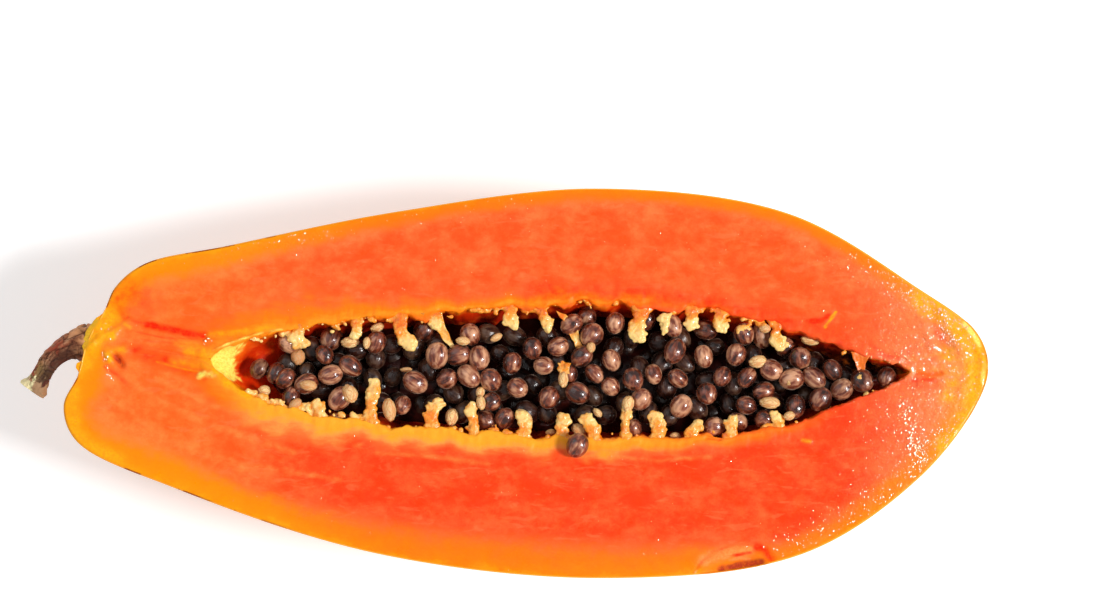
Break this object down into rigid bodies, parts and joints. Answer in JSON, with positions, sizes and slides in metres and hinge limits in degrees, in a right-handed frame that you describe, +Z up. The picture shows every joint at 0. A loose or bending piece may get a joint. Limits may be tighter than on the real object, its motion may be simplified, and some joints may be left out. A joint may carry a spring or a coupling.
{
  "type": "papaya half",
  "caption": "Half of a ripe papaya cut lengthwise, resting on its back with the cut face up, its long cavity filled with dark seeds and a short dried stem at one end.",
  "frame": {"origin": "centre of the small flat spot on the back that the half rests on", "axes": "+Z up, square to the cut face; +X along the fruit from the stem end to the blossom end; +Y across the cut face"},
  "size_m": [0.2838, 0.1144, 0.0584],
  "materials": {
    "flesh": "wet orange-red fruit flesh with paler streaks, a yellow-orange rim under the skin and a smooth yellow-orange skin",
    "seeds": "dark grey-brown seeds in thin clear glossy coats, with a few pale cream ones",
    "stem": "dried, wrinkled grey-brown stem with a reddish middle and a pale torn tip"
  },
  "bodies": {
    "root": {"papaya_half": "flesh", "seed_heap": "seeds", "stem": "stem"}
  },
  "joints": []
}
